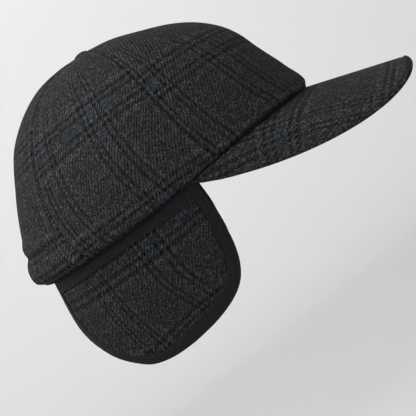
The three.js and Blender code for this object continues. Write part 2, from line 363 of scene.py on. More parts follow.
def makeThread():
    material, shader, wire = startMaterial("darkThread")
    place = wire.node("ShaderNodeTexCoord", None, None, 3)
    strand = wire.noise(place, thread["strandScale"], 2.0)
    shade = wire.mix(strand, linear(*thread["deep"]), linear(*thread["shade"]))
    finishMaterial(wire, shader, shade, strand, thread["bump"], {
        "Roughness": thread["roughness"],
        "Specular IOR Level": 0.25,
    })
    return material


plaidWool = makePlaid("plaidWool", 1.0, 0.7)
peakWool = makePlaid("peakWool", 0.92, 0.3)  # pulled flat over the stiff peak
blackEdging = makeEdging()
darkLining = makeLining()
darkThread = makeThread()
print("materials made")


def placeObject(name, data):
    made = bpy.data.objects.new(name, data)
    bpy.context.collection.objects.link(made)
    return made


def smoothFaces(mesh):
    mesh.polygons.foreach_set("use_smooth", [True] * len(mesh.polygons))


# one mesh grown out of grids of points in millimetres, with two cloth maps kept for each face corner
class Patchwork:
    def __init__(self):
        self.points = []
        self.paintedShades = []
        self.faces = []
        self.maps = {"plaid": [], "weave": []}
        self.slots = []

    # each point carries its painted shade, from 0 for none to 1 for the darkest
    def point(self, place, crease=0.0):
        self.points.append(tuple(place))
        self.paintedShades.append(crease)
        return len(self.points) - 1

    def face(self, corners, plaidCorners, weaveCorners, slot=0):
        kept = [i for i, c in enumerate(corners) if c not in corners[:i]]
        self.faces.append([corners[i] for i in kept])
        self.maps["plaid"] += [plaidCorners[i] for i in kept]
        self.maps["weave"] += [weaveCorners[i] for i in kept]
        self.slots.append(slot)

    # one quad of a grid, turned over where flipped
    def quad(self, ids, plaidGrid, weaveGrid, r, c, flipped=False, slot=0):
        ring = [(r, c), (r + 1, c), (r + 1, c + 1), (r, c + 1)]
        ring = ring[::-1] if flipped else ring
        grids = (ids, plaidGrid, weaveGrid)
        self.face(*([grid[a][b] for a, b in ring] for grid in grids), slot)

    # an outer and an inner grid, closed round their border
    def sheet(self, outer, inner, plaidGrid, weaveGrid, innerSlot=0):
        rows, columns = len(outer) - 1, len(outer[0]) - 1
        for r in range(rows):
            for c in range(columns):
                self.quad(outer, plaidGrid, weaveGrid, r, c)
                self.quad(inner, plaidGrid, weaveGrid, r, c, True, innerSlot)
        loop = [(0, c) for c in range(columns)] + [(r, columns) for r in range(rows)]
        loop += [(rows, c) for c in range(columns, 0, -1)] + [(r, 0) for r in range(rows, 0, -1)]
        for (a, b), (d, e) in zip(loop, loop[1:] + loop[:1]):
            ring = [outer[a][b], outer[d][e], inner[d][e], inner[a][b]]
            self.face(ring, [plaidGrid[a][b]] * 4, [weaveGrid[a][b]] * 4)

    # the same work on the other side of the cap
    def mirrored(self):
        other = Patchwork()
        other.points = [(-x, y, z) for x, y, z in self.points]
        other.paintedShades = list(self.paintedShades)
        other.slots = list(self.slots)
        start = 0
        for face in self.faces:
            end = start + len(face)
            other.faces.append(face[::-1])
            for label in self.maps:
                other.maps[label] += self.maps[label][start:end][::-1]
            start = end
        return other

    def piece(self, name, materials):
        mesh = bpy.data.meshes.new(name)
        mesh.from_pydata([tuple(c * mm for c in p) for p in self.points], [], self.faces)
        for label, corners in self.maps.items():
            layer = mesh.uv_layers.new(name=label)
            layer.uv.foreach_set("vector", np.asarray(corners, np.float32).ravel())
        for material in materials:
            mesh.materials.append(material)
        mesh.attributes.new("crease", "FLOAT", "POINT").data.foreach_set("value", self.paintedShades)
        mesh.polygons.foreach_set("material_index", self.slots)
        smoothFaces(mesh)
        mesh.validate()
        mesh.update()
        return placeObject(name, mesh)


# crown: reach from the middle of the rim plane at each rise above it, turns measured from the front
crown = {
    "wall": 2.2,
    "top": 102.2,
    "rows": tableOf(
        ("rise", "front", "side", "back"),
        (0, 101.2, 83.0, 106.5), (2, 103.0, 84.4, 111.0), (4, 102.9, 84.9, 112.2),
        (7, 101.6, 85.3, 111.8), (10, 100.3, 85.9, 109.6), (13, 99.7, 86.6, 108.6),
        (18, 99.0, 87.9, 106.9), (24, 99.5, 89.6, 105.5), (30, 101.4, 91.5, 104.7),
        (36, 102.6, 93.7, 104.6), (42, 102.7, 96.4, 105.6), (48, 102.3, 98.8, 106.8),
        (54, 101.5, 100.9, 107.1), (62, 100.4, 102.6, 107.2), (70, 99.8, 103.2, 106.8),
        (78, 100.3, 103.0, 105.0), (84, 101.1, 102.4, 103.4), (90, 102.2, 102.2, 102.2),
    ),
    "sag": tableOf(
        ("turn", "sag"),
        (0, 0), (50, -1.2), (84, 1.4), (115, 2.8), (140, 2.2), (160, 1.4), (180, 0),
    ),
    "sagFade": 24,
    "foldDepth": 0.7,
    # how far the seams and stripes lean back as they rise
    "lean": tableOf(
        ("rise", "lean"), (0, 2.6), (10, 5.2), (21, 7.0), (38, 7.9), (46, 7.4), (60, 7.9), (90, 10.0),
    ),
    "leanShare": tableOf(
        ("turn", "share"), (0, 0), (27, 1.1), (64, 0.95), (95, 1), (136, 1), (160, 0.5), (180, 0),
    ),
    # where the stripe groups cross each panel
    "warpPlaces": tableOf(
        ("turn", "repeat"), (0, -0.79), (28.1, 0), (62.6, 1), (95.1, 2), (127.1, 3), (135.5, 3.26),
    ),
    "backPlaces": tableOf(("turn", "repeat"), (135.5, -0.13), (139.2, 0), (180, 1.35)),
    "weftPlaces": (
        tableOf(("turn", "height"), (0, 54.3), (12, 57.8), (24, 60.3), (67.5, 60.5)),
        tableOf(("turn", "height"), (67.5, 67.5), (80, 69.8), (104, 71.8), (135.5, 72.1)),
        tableOf(("turn", "height"), (135.5, 84.0), (180, 84.0)),
    ),
    "weftRepeat": 69.2,
    "panelMiddles": (34, 102, 180),
    # seams: turn, depth of the groove, and how dark the painted shade in it is
    "seams": tableOf(("turn", "depth", "dark"), (0, 0.6, 0.5), (67.5, 0.5, 0.35), (135.5, 0.8, 0.65)),
    "seamReach": 95,
    "seamFade": (89, 80),
    "seamWidth": 0.75,
    "seamLine": 0.6,
    "seamPuff": {"share": 0.35, "away": 2.6, "width": 1.6},
    "hemRise": 10.9,
    "hemDepth": 1.1,
    "hemWidth": 1.1,
    "hemTurns": (138, 164),
    "hemPuff": {"share": 0.8, "away": 3.6, "width": 1.9},
    # painted shade in the hem's crease, in the fold at the rim and round the button's foot
    "hemPaintedShade": 0.5,
    "rimPaintedShade": 0.85,
    "buttonPaintedShade": 0.5,
    "puckerDepth": 0.55,
    "puckerTurns": (112, 150),
    "puckers": tableOf(("share", "pace", "start"), (0.6, 0.62, 0), (0.4, 1.31, 0.8)),
    "dentDepth": 0.6,
    "dents": tableOf(
        ("share", "round", "roundStart", "up", "upStart"),
        (1, 3.1, 0.9, 4.3, 0.4), (0.6, 5.3, 2.1, 7.1, 1.7),
    ),
    "columnStep": 1.5,
    "seamColumns": (0, 0.2, 0.45, 0.85),
}
ends = ("front", "side", "back")
reachAt = {end: curveThrough(crown["rows"], "rise", end) for end in ends}
sagAt = curveThrough(crown["sag"], "turn", "sag")
leanAt = curveThrough(crown["lean"], "rise", "lean")
leanShareAt = curveThrough(crown["leanShare"], "turn", "share")
warpAt = curveThrough(crown["warpPlaces"], "turn", "repeat")
backAt = curveThrough(crown["backPlaces"], "turn", "repeat")
weftAt = [curveThrough(rows, "turn", "height") for rows in crown["weftPlaces"]]


def ovalReach(turn, front, side, back):
    end = front if math.cos(turn) > 0 else back
    return 1 / math.hypot(math.cos(turn) / end, math.sin(turn) / side)


def crownPoint(turnDegrees, rise, inset):
    turn, up = math.radians(turnDegrees), math.radians(rise)
    reach = ovalReach(turn, *(reachAt[end](rise) for end in ends)) - inset
    out = reach * math.cos(up)
    drop = sagAt(abs(turnDegrees)) * max(0, 1 - rise / crown["sagFade"])
    return Vector((-out * math.sin(turn), -out * math.cos(turn), reach * math.sin(up) - drop))


# how far a column lies from each seam, in millimetres, and how much the seam shows there
def seamPlaces(base, rise):
    out = crown["seamReach"] * math.cos(math.radians(rise))
    fade = smooth(*crown["seamFade"], rise)
    return [(math.radians(abs(base) - row["turn"]) * out, fade, row) for row in crown["seams"]]


# a line pulled in, with the cloth puffed up beside it
def pulled(away, width, beside, puff):
    return bell(away, width) - puff["share"] * bell(beside - puff["away"], puff["width"])


# small swell of the cloth: seams pulled in, a crease over the back hem, puckers, soft dents
def crownSwell(turn, base, rise):
    swell = 0
    for away, fade, row in seamPlaces(base, rise):
        swell -= row["depth"] * fade * pulled(away, crown["seamWidth"], abs(away), crown["seamPuff"])
    back = smooth(*crown["hemTurns"], abs(turn))
    overHem = rise - crown["hemRise"]
    swell -= crown["hemDepth"] * back * pulled(overHem, crown["hemWidth"], overHem, crown["hemPuff"])
    wave = sum(row["share"] * math.sin(abs(turn) * row["pace"] + row["start"]) for row in crown["puckers"])
    swell += crown["puckerDepth"] * smooth(14, 2, rise) * smooth(*crown["puckerTurns"], abs(turn)) * wave
    around, up = math.radians(abs(turn)), math.radians(rise)
    soft = 0
    for row in crown["dents"]:
        roundWave = math.sin(around * row["round"] + row["roundStart"])
        soft += row["share"] * roundWave * math.sin(up * row["up"] + row["upStart"])
    return swell + crown["dentDepth"] * soft * smooth(2, 20, rise) * smooth(90, 74, rise)


# painted shade on the crown: dark lines down the seams, along the fold at the rim, round the button's foot
# and in the crease over the back hem
def crownPaintedShade(turn, base, rise):
    places, line = seamPlaces(base, rise), crown["seamLine"]
    dark = [row["dark"] * fade * bell(away, line) for away, fade, row in places]
    dark.append(crown["rimPaintedShade"] * smooth(1.2, 0.1, rise))
    dark.append(crown["buttonPaintedShade"] * smooth(84.5, 86.5, rise))
    back = smooth(*crown["hemTurns"], abs(turn))
    dark.append(crown["hemPaintedShade"] * back * bell(rise - crown["hemRise"], 0.7))
    return max(dark)


# even columns, with closer ones beside the seams
def crownColumns():
    seams = [row["turn"] for row in crown["seams"]]
    step = crown["columnStep"]
    even = [step * i for i in range(round(180 / step) + 1)]
    half = {turn for turn in even if all(abs(turn - seam) > 1.25 for seam in seams)}
    for seam in seams:
        half.update(seam + side * away for away in crown["seamColumns"] for side in (-1, 1))
    half = sorted(turn for turn in half if turn >= 0)
    return half + [-turn for turn in half[-2:0:-1]]


# close rows in the rim and the hem, wider ones above
def crownRises():
    hem = [2 + 0.7 * i for i in range(22)]
    above = [17.5 + 1.5 * i for i in range(47)]
    return [0, 0.5, 1, 1.5, *hem, *above, 88.3]


def makeCrown():
    bases, rises = crownColumns(), crownRises()
    columns, last = len(bases), len(rises) - 1
    work = Patchwork()
    outer, inner, placed = [], [], {}
    for c, base in enumerate(bases):
        side = -1 if base < 0 else 1
        outerLine, innerLine, run, before = [], [], 0, None
        for rise in rises:
            turn = side * (abs(base) + leanAt(rise) * leanShareAt(abs(base)))
            spot = crownPoint(turn, rise, -crownSwell(turn, base, rise))
            run += (spot - before).length if before else 0
            before = spot
            placed[c, rise] = (turn, run, math.hypot(spot.x, spot.y))
            outerLine.append(work.point(spot, crownPaintedShade(turn, base, rise)))
            innerLine.append(work.point(crownPoint(turn, rise, crown["wall"])))
        outer.append(outerLine)
        inner.append(innerLine)
    poleOut = work.point((0, 0, crown["top"]))
    poleIn = work.point((0, 0, crown["top"] - crown["wall"]))
    folds = []
    for outerLine, innerLine in zip(outer, inner):
        low = (Vector(work.points[outerLine[0]]) + Vector(work.points[innerLine[0]])) / 2
        low.z -= crown["foldDepth"]
        # the fold under the rim gets the full painted shade
        folds.append(work.point(low, 1.0))

    # plaid and weave places of a point, seen as part of one panel
    def mapsAt(c, rise, panel, flipped):
        base = abs(bases[c])
        turn, run, out = placed[c, rise]
        warp = backAt(base) if panel == 2 else warpAt(base)
        centre = crown["panelMiddles"][panel] + (leanAt(rise) if panel < 2 else 0)
        away = math.radians(abs(turn) - centre) * out
        weave = ((-away if flipped else away) / 100, run / 100)
        return (warp, (run - weftAt[panel](base)) / crown["weftRepeat"]), weave

    def addFace(corners, keys, known, slot=0):
        work.face(corners, [known[k][0] for k in keys], [known[k][1] for k in keys], slot)

    for c in range(columns):
        nxt = (c + 1) % columns
        middle = (abs(bases[c]) + abs(bases[nxt])) / 2
        panel = max(k for k, row in enumerate(crown["seams"]) if row["turn"] <= middle)
        flipped = min(bases[c], bases[nxt]) < 0
        for r, low in enumerate(rises):
            high = rises[min(r + 1, last)]
            here, above, aboveNext, hereNext = (c, low), (c, high), (nxt, high), (nxt, low)
            ring = [here, above, aboveNext, hereNext]
            known = {key: mapsAt(*key, panel, flipped) for key in ring}
            if r == last:
                addFace([outer[c][r], poleOut, outer[nxt][r]], [here, here, hereNext], known)
                addFace([inner[c][r], inner[nxt][r], poleIn], [here, hereNext, here], known, 1)
                continue
            addFace([outer[c][r], outer[c][r + 1], outer[nxt][r + 1], outer[nxt][r]], ring, known)
            turned = [here, hereNext, aboveNext, above]
            addFace([inner[c][r], inner[nxt][r], inner[nxt][r + 1], inner[c][r + 1]], turned, known, 1)
            if r == 0:
                turned = [here, here, hereNext, hereNext]
                addFace([folds[c], outer[c][0], outer[nxt][0], folds[nxt]], turned, known)
                addFace([inner[c][0], folds[c], folds[nxt], inner[nxt][0]], turned, known)
    return work.piece("crownCloth", [plaidWool, darkLining])


crownCloth = makeCrown()
print("crown made", len(crownCloth.data.polygons))


# covered button: a low dome laid on the slope of the crown's top
button = {
    "radius": 5.4, "height": 1.5, "gap": 0.35, "rings": 14, "columns": 40, "skirt": 0.9, "lip": 0.5,
    "dome": 2.4, "pleats": 12, "pleatDepth": 0.015, "seatRise": 84, "edgePaintedShade": 0.5,
    "checksPerHundred": (2.0, 1.5), "checkPlace": 0.36,
}


def makeButton():
    work = Patchwork()
    front, back = (crownPoint(turn, button["seatRise"], 0) for turn in (0, 180))
    tilt = Matrix.Rotation(math.atan2(back.z - front.z, back.y - front.y), 3, "X")
    seat = Vector((0, 0, crown["top"] + button["gap"]))
    profile = [(0.0, -button["skirt"]), (1.0, -button["skirt"])]
    for r in range(button["rings"] + 1):
        share = 1 - r / button["rings"]
        fall = share ** button["dome"]
        profile.append((share, button["height"] * (1 - fall) - button["lip"] * fall))
    columns, place = button["columns"], button["checkPlace"]
    checksX, checksY = button["checksPerHundred"]
    ids, checks, weave = [], [], []
    for share, height in profile:
        ring = []
        for c in range(columns):
            turn = 2 * math.pi * c / columns
            pleat = button["pleatDepth"] * math.sin(turn * button["pleats"]) * smooth(0.5, 1, share)
            out = button["radius"] * share * (1 + pleat)
            ring.append(tilt @ Vector((out * math.cos(turn), out * math.sin(turn), height)) + seat)
        # painted shade round the button's edge
        line = [work.point(p, button["edgePaintedShade"] * smooth(0.85, 1, share)) for p in ring]
        ids.append([*line, line[0]] if share else [line[0]] * (columns + 1))
        weave.append([(p.x / 100, p.y / 100) for p in (*ring, ring[0])])
        checks.append([(x * checksX + place, y * checksY + place) for x, y in weave[-1]])
    for r in range(len(profile) - 1):
        for c in range(columns):
            work.quad(ids, checks, weave, r, c, True)
    return work.piece("topButton", [plaidWool])


topButton = makeButton()
print("button made")


# peak: a sheet ruled forward and down from the rim, its plan a rounded oblong
peak = {
    "cornerTurn": 84.0,
    "slope": 20.0,
    "sideDroop": 13.8,
    "droopPower": 1.5,
    "rimSide": 81.8,
    "rimFront": 100.0,
    "rimSag": 11.84,  # the rim's own drop toward the corners
    "rimArch": 10.44,
    "tip": 163.8,
    "halfWidth": 81.6,
    "roundness": 2.75,
    "thickness": 3.0,
    "gap": 0.35,
    "columns": 160,
    "rows": 48,
    "edgeLine": 3.0,
    "grooveDepth": 0.45,
    "grooveWidth": 0.6,
    "edgeRoll": {"height": 0.35, "away": 1.4, "width": 0.8},
    "edgePaintedShade": 0.8,
    "tipFrom": 105.0,  # the edge line shows round the tip alone
    "tipFade": 25.0,
    "rimShade": 0.9,
    "tailHead": (82.3, 5.6, -0.9),
    "tailFoot": (82.4, 8.8, -2.9),
    "tailTurn": 3.0,
    "tailSteps": 4,
    "weftPlace": 98.0,
    "weftRepeat": 61.0,
    "weftCurve": 0.006,
    "weftLeast": 51.2,
    "warpPlace": 83.4,
    "warpRepeat": 45.0,
    "bend": tableOf(
        ("onward", "shift"),
        (40, -18), (60, -10), (84, 0), (98, 6.2), (116, 15), (130, 18), (146, 21.3), (165, 25),
    ),
}
peakBendAt = curveThrough(peak["bend"], "onward", "shift")


def startTree(name, inputs):
    tree = bpy.data.node_groups.new(name, "GeometryNodeTree")
    tree.interface.new_socket(name="Mesh", in_out="OUTPUT", socket_type="NodeSocketGeometry")
    keys = {}
    for label, kind in inputs.items():
        keys[label] = tree.interface.new_socket(name=label, in_out="INPUT", socket_type=kind).identifier
    source = tree.nodes.new("NodeGroupInput")
    given = {label: Wire(tree, source.outputs[label]) for label in inputs}
    return Wire(tree), keys, given


def endTree(wire, shape, cloth):
    real = wire.node("GeometryNodeRealizeInstances", None, {"Geometry": shape})
    dressed = wire.node("GeometryNodeSetMaterial", None, {"Geometry": real, "Material": cloth})
    sink = wire.tree.nodes.new("NodeGroupOutput")
    wire.tree.links.new(dressed.socket, sink.inputs[0])


# the tree's result as a plain mesh
def runTree(holder, tree, keys, values):
    modifier = holder.modifiers.new(tree.name, "NODES")
    modifier.node_group = tree
    for label, value in values.items():
        modifier[keys[label]] = value
    view = bpy.context.evaluated_depsgraph_get()
    mesh = bpy.data.meshes.new_from_object(holder.evaluated_get(view))
    holder.modifiers.remove(modifier)
    bpy.data.objects.remove(holder)
    return mesh


def peakTree():
    angles = ("cornerTurn", "slope", "sideDroop")
    sizes = ("droopPower", "rimSide", "rimFront", "rimSag", "rimArch", "tip", "halfWidth", "roundness")
    inputs = {label: "NodeSocketFloat" for label in angles + sizes}
    inputs.update({"columns": "NodeSocketInt", "rows": "NodeSocketInt", "cloth": "NodeSocketMaterial"})
    wire, keys, given = startTree("peakSheet", inputs)
    grid = wire.node("GeometryNodeMeshGrid", None, {
        "Size X": 2.0, "Size Y": 1.0, "Vertices X": given["columns"], "Vertices Y": given["rows"],
    })
    place = wire.node("GeometryNodeInputPosition")
    share = wire.axis(place, 0)
    reach = 1 - (0.5 - wire.axis(place, 1)) ** 1.5  # closer rows toward the free edge
    turn = share * given["cornerTurn"]
    sine, cosine = wire.math("SINE", turn), wire.math("COSINE", turn)
    aside, forward = given["rimSide"] * sine, given["rimFront"] * cosine
    slope = given["slope"] + given["sideDroop"] * abs(sine) ** given["droopPower"]
    left = wire.math("MAXIMUM", 1 - abs(aside / given["halfWidth"]) ** given["roundness"], 0.0)
    edge = given["tip"] * left ** (1 / given["roundness"])
    run = (edge - forward) * reach
    sag = share * share * (abs(share) * given["rimSag"] - given["rimArch"])
    down = run * wire.math("TANGENT", slope) + sag
    spot = wire.joined(-1 * aside, -1 * (forward + run), -1 * down)
    moved = wire.node("GeometryNodeSetPosition", None, {"Geometry": grid, "Position": spot})
    endTree(wire, moved, given["cloth"])
    values = {label: peak[label] for label in sizes}
    values.update({label: math.radians(peak[label]) for label in angles})
    values["cloth"] = peakWool
    return wire.tree, keys, values


# a short tail behind each side corner, tucked under the rim
def withTails(grid):
    steps = np.linspace(0, 1, peak["tailSteps"] + 1)[1:, None, None]
    tails = []
    for line in (grid[0], grid[-1]):
        turned = np.array([np.sign(line[0, 0]), -1, 1])
        head, foot = turned * peak["tailHead"], turned * peak["tailFoot"]
        spread = np.linalg.norm(line - line[:1], axis=1) / np.linalg.norm(line[-1] - line[0])
        goal = head + (foot - head) * spread[:, None]
        tails.append(line + (goal - line) * steps)
    return np.concatenate([tails[0][::-1], grid, tails[1]])


def peakGrid():
    tree, keys, values = peakTree()
    columns, rows = peak["columns"] + 1, peak["rows"] + 1
    values.update({"columns": columns, "rows": rows})
    holder = placeObject("peakHolder", bpy.data.meshes.new("peakHolder"))
    mesh = runTree(holder, tree, keys, values)
    flat = np.empty(len(mesh.vertices) * 3, np.float32)
    mesh.vertices.foreach_get("co", flat)
    return withTails(flat.reshape(columns, rows, 3).astype(float))


def makePeak():
    grid = peakGrid()
    columns, rows = grid.shape[:2]
    normals = np.cross(np.gradient(grid, axis=1), np.gradient(grid, axis=0))
    normals /= np.linalg.norm(normals, axis=2, keepdims=True)
    normals *= np.sign(normals[..., 2].mean())
    borders = (grid[:, :1], grid[:, -1:], grid[:1], grid[-1:])
    toRim, toEdge, toRight, toLeft = (np.linalg.norm(grid - line, axis=2) for line in borders)
    # the sheet's thickness, rounded off at the free edge and at the side corners
    half = peak["thickness"] / 2
    near = np.clip(np.minimum(toEdge, np.minimum(toRight, toLeft)) / half, 0, 1)
    body = np.sqrt(1 - (1 - near) ** 2)
    tipped = np.clip((-grid[..., 1] - peak["tipFrom"]) / peak["tipFade"], 0, 1)
    roll = peak["edgeRoll"]
    groove = peak["grooveDepth"] * bell(toEdge - peak["edgeLine"], peak["grooveWidth"])
    groove = groove - roll["height"] * tipped * bell(toEdge - roll["away"], roll["width"])
    middle = grid.copy()
    middle[..., 2] -= half * np.abs(normals[:, :1, 2]) + peak["gap"]
    lift = normals * (half * body - groove)[..., None]
    # cloth maps: across the sheet, and forward along it
    tailTurns = np.linspace(0, peak["tailTurn"], peak["tailSteps"] + 1)[1:] + peak["cornerTurn"]
    evenTurns = np.linspace(-peak["cornerTurn"], peak["cornerTurn"], peak["columns"] + 1)
    turns = np.radians(np.concatenate([-tailTurns[::-1], evenTurns, tailTurns]))
    sine = np.abs(np.sin(turns))
    slopes = np.radians(peak["slope"] + peak["sideDroop"] * sine ** peak["droopPower"])
    speed = np.hypot(peak["rimSide"] * np.cos(turns), peak["rimFront"] * sine * np.sin(slopes))
    arc = np.concatenate([[0], np.cumsum((speed[1:] + speed[:-1]) / 2 * np.diff(turns))])
    arc -= arc[columns // 2]
    onward = np.maximum(peak["weftCurve"] * grid[..., 0] ** 2 - grid[..., 1], peak["weftLeast"])
    across = np.abs(arc)[:, None] + sine[:, None] * np.vectorize(peakBendAt)(onward)
    ruled = toRim + (peak["rimFront"] * np.cos(turns) / np.cos(slopes))[:, None]
    warp = (across - peak["warpPlace"]) / peak["warpRepeat"]
    weft = (onward - peak["weftPlace"]) / peak["weftRepeat"]
    checks = np.stack([warp, weft], axis=2).tolist()
    weave = (np.stack([np.broadcast_to(arc[:, None], ruled.shape), ruled], axis=2) / 100).tolist()
    # painted shade along the edge groove round the tip, and in the joint under the crown's rim
    edgeLine = peak["edgePaintedShade"] * tipped * bell(toEdge - peak["edgeLine"], 0.7)
    dark = np.maximum(bell(toRim, peak["rimShade"]), edgeLine)
    work = Patchwork()
    upper, under = (
        [[work.point(p, d) for p, d in zip(*pair)] for pair in zip(side, dark)]
        for side in (middle + lift, middle - lift)
    )
    for upperLine, underLine in zip(upper, under):
        underLine[-1] = upperLine[-1]
    for c in (0, -1):
        under[c] = list(upper[c])
    for c in range(columns - 1):
        for r in range(rows - 1):
            work.quad(upper, checks, weave, c, r, True)
            work.quad(under, checks, weave, c, r)
        ring = [upper[c][0], upper[c + 1][0], under[c + 1][0], under[c][0]]
        work.face(ring, [checks[c][0]] * 4, [weave[c][0]] * 4)
    return work.piece("peakCloth", [peakWool])


peakCloth = makePeak()
print("peak made", len(peakCloth.data.polygons))


# ear flap: places along the rim from the front corner, and drops below it
flap = {
    "startTurn": 83.2,
    "tucked": 9,
    "panelThickness": 3.8,
    "bindingThickness": 4.4,
    "bandThickness": 2.4,
    "bandRecess": 0.2,
    "gap": 0.35,
    "corners": (0.33, 0.69),
    "swell": 0.7,
    "tuckIn": 0.9,
    "outline": tableOf(
        ("along", "drop", "edge"),
        (0, -9, 7.6), (0, 6, 7.6), (0.2, 20, 7.6), (1.3, 31, 7.7), (2.8, 42.6, 8.1), (6.2, 53.3, 8.6),
        (10.8, 61.3, 9.0), (16.2, 66.8, 9.2), (23.6, 71.2, 9.3), (33.8, 74.9, 9.4), (45.5, 77.6, 9.5),
        (58, 79.4, 9.4), (72, 80.6, 8.5), (86, 79.9, 7.0), (97, 76.4, 6.1), (104.8, 69.8, 5.6),
        (111.8, 61.9, 5.4), (118, 53.2, 5.4), (124.6, 42.2, 5.4), (129, 31, 5.4), (130.7, 20, 5.4),
        (131, 8, 5.4), (131, -9, 5.4),
    ),
    "lean": tableOf(
        ("along", "lean", "curl"),
        (0, 6, 1), (40, 7.5, 2), (80, 4, 2), (102, -2, 1), (118, -7, 0), (132, -11, 0),
    ),
    "curlOver": 40,
    "panelTop": tableOf(
        ("along", "drop"), (0, 9.8), (27, 7.6), (50, 6.6), (75, 6.7), (100, 7.2), (132, 7.7),
    ),
    # the edging's section: share of its width inward, share of its half thickness
    "section": tableOf(
        ("across", "lift"),
        (0.0, 0.0), (0.02, -0.4), (0.06, -0.7), (0.15, -0.9), (0.3, -1.0), (0.6, -1.0), (0.94, -0.95),
        (1.0, -0.75), (1.0, 0.75), (0.94, 0.95), (0.6, 1.0), (0.3, 1.0), (0.15, 0.9), (0.06, 0.7),
        (0.02, 0.4),
    ),
    "meanEdge": 8,
    "ripple": 0.03,
    "bindingSteps": 220,
    "bindingPaintedShade": {"least": 0.2, "edges": 0.6},
    "panelGrid": (56, 90),
    "panelSpan": (66, 116),
    "panelPaintedShade": {"least": 0.08, "border": 0.7, "top": 0.35},
    "bandRows": (0, 0.25, 0.5, 0.62, 0.7, 0.76, 0.82, 0.88, 0.94, 0.98, 1),
    "bandColumns": 60,
    # where the stripe groups cross the panel
    "warpPlaces": tableOf(
        ("along", "cloth"),
        (0, -45), (8, -37), (37.5, -8.7), (42.6, -4.3), (47.2, 0), (51.5, 4.3), (55.6, 8.7), (84.6, 39.3),
        (87.6, 43.7), (91, 48), (94.6, 52.3), (97.2, 56.7), (131, 97),
    ),
    "weftPlaces": tableOf(
        ("drop", "cloth"),
        (0, -13), (8, -4.9), (12.4, 0), (16.5, 4.5), (19.4, 6.7), (22, 8.9), (26, 12.8), (58, 51.2),
        (61.8, 55.1), (66.3, 59.5), (69.5, 64), (82, 80),
    ),
    "weftTilt": 6.5,
    "warpBend": tableOf(
        ("drop", "shift"),
        (0, 0), (12, 0), (30, 0.7), (40, 0.5), (50, -2.2), (60, -5.0), (72, -8.5), (82, -11.0),
    ),
}
flapLeanAt = curveThrough(flap["lean"], "along", "lean")
flapCurlAt = curveThrough(flap["lean"], "along", "curl")
panelTopAt = curveThrough(flap["panelTop"], "along", "drop")
flapWarpAt = curveThrough(flap["warpPlaces"], "along", "cloth")
flapWeftAt = curveThrough(flap["weftPlaces"], "drop", "cloth")
flapBendAt = curveThrough(flap["warpBend"], "drop", "shift")
flapInset = crown["wall"] + flap["gap"] + flap["bindingThickness"] / 2


# turn at a distance along the rim, found by walking round it
def flapTurns():
    rows = [{"along": 0, "turn": flap["startTurn"]}]
    place = crownPoint(flap["startTurn"], 0, flapInset)
    turn = flap["startTurn"] + 1
    while turn < 180:
        nxt = crownPoint(turn, 0, flapInset)
        rows.append({"along": rows[-1]["along"] + (nxt - place).length, "turn": turn})
        place = nxt
        turn += 1
    return curveThrough(rows, "along", "turn")


flapTurnAt = flapTurns()


def flapPoint(along, drop, lift):
    degrees = flapTurnAt(along)
    turn = math.radians(degrees)
    rim = crown["rows"][0]
    end = rim["front"] if math.cos(turn) > 0 else rim["back"]
    outward = Vector((-math.sin(turn) / rim["side"], -math.cos(turn) / end, 0)).normalized()
    hang, up = max(drop, 0), min(drop, 0)
    lean = math.radians(flapLeanAt(along) + flapCurlAt(along) * hang / flap["curlOver"])
    spot = crownPoint(degrees, 0, flapInset)
    spot += outward * (math.cos(lean) * lift - math.sin(lean) * hang)
    spot.z -= math.cos(lean) * hang + math.sin(lean) * lift + up
    return spot


# evenly spaced places on a smooth line through chart points, and its length
def chartLine(points, steps=24):
    points = [Vector(p) for p in points]
    last = len(points) - 1
    fine, knots = [], []
    for i in range(last):
        start, end = points[i], points[i + 1]
        leaving = (end - points[max(i - 1, 0)]) / 2
        arriving = (points[min(i + 2, last)] - start) / 2
        bow = 2 * start - 2 * end + leaving + arriving
        turn = 3 * end - 3 * start - 2 * leaving - arriving
        for k in range(steps):
            t = k / steps
            fine.append(bow * t ** 3 + turn * t ** 2 + leaving * t + start)
            knots.append(i + t)
    fine.append(points[last])
    knots.append(last)
    run = np.concatenate([[0], np.cumsum([(b - a).length for a, b in zip(fine, fine[1:])])])
    xs, ys = [p.x for p in fine], [p.y for p in fine]

    def placeAt(part):
        return Vector([np.interp(part * run[-1], run, line) for line in (xs, ys)])

    def knotAt(part):
        return np.interp(part * run[-1], run, knots)

    return placeAt, knotAt, run[-1]


outlineAt, outlineKnotAt, outlineRun = chartLine([(row["along"], row["drop"]) for row in flap["outline"]])
edgeRows = [{"place": i, "edge": row["edge"]} for i, row in enumerate(flap["outline"])]
edgeAt = curveThrough(edgeRows, "place", "edge")


# outline place, the way in from the edge, and the edging's width there
def flapEdge(part, step=0.004):
    tangent = outlineAt(min(1, part + step)) - outlineAt(max(0, part - step))
    tangent.normalize()
    return outlineAt(part), Vector((tangent.y, -tangent.x)), edgeAt(outlineKnotAt(part))


